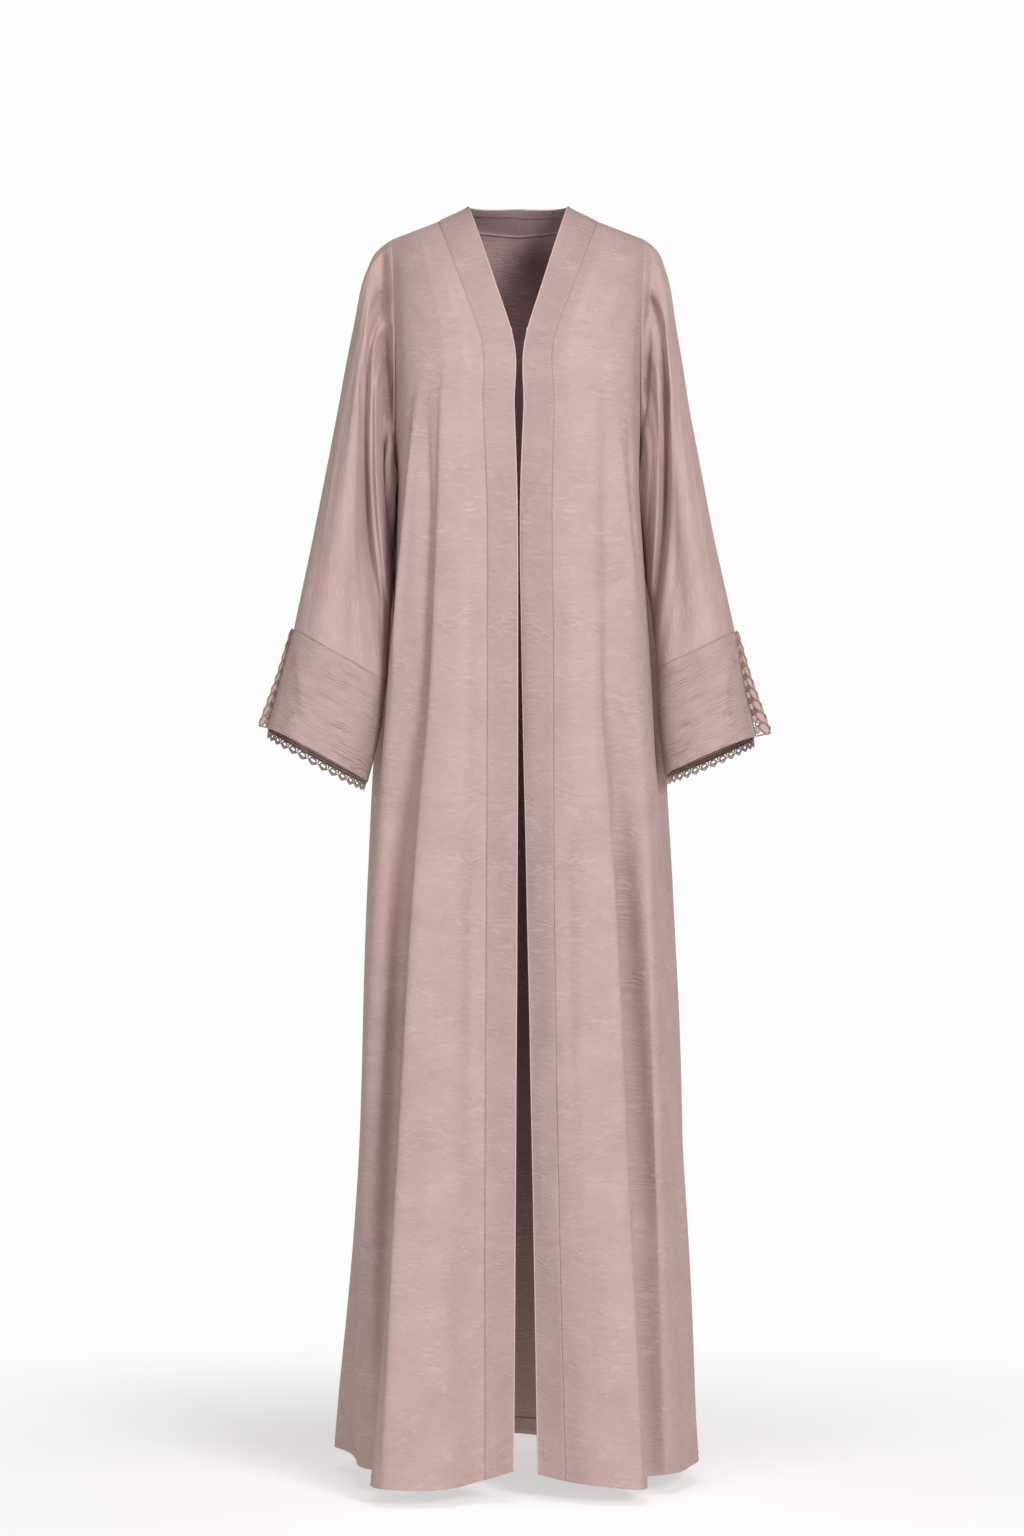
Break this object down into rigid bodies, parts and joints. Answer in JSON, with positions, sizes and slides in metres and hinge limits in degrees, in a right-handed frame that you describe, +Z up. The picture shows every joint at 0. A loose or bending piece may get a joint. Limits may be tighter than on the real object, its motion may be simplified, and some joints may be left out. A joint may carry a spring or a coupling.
{
  "type": "open-front abaya cloak",
  "caption": "Full-length open-front abaya cloak in worn form, with wide sleeves, deep cuffs edged in lace and a band round the front edges and neck.",
  "frame": {"origin": "the middle of the neck opening at the height of the shoulder points beside the neck, where the wearer's shoulders carry the cloak", "axes": "+Z up along the wearer, the front faces -Y, +X is the wearer's left"},
  "size_m": [0.6271, 0.4808, 1.5472],
  "materials": {
    "crepe": "matt crinkle crepe, dusty rose",
    "lace": "corded lace, dusty rose"
  },
  "bodies": {
    "root": {"front_right_skirt": "crepe", "front_right_waist": "crepe", "front_right_chest": "crepe", "front_left_skirt": "crepe", "front_left_waist": "crepe", "front_left_chest": "crepe", "back_skirt": "crepe", "back_waist": "crepe", "back_chest": "crepe", "band_right_skirt": "crepe", "band_right_waist": "crepe", "band_right_neck": "crepe", "band_left_skirt": "crepe", "band_left_waist": "crepe", "band_left_neck": "crepe", "sleeve_right": "crepe", "sleeve_left": "crepe", "cuff_front_right": "crepe", "cuff_back_right": "crepe", "cuff_front_left": "crepe", "cuff_back_left": "crepe", "lace_side_right": "lace", "lace_side_left": "lace", "lace_hem_right": "lace", "lace_hem_left": "lace"}
  },
  "joints": []
}
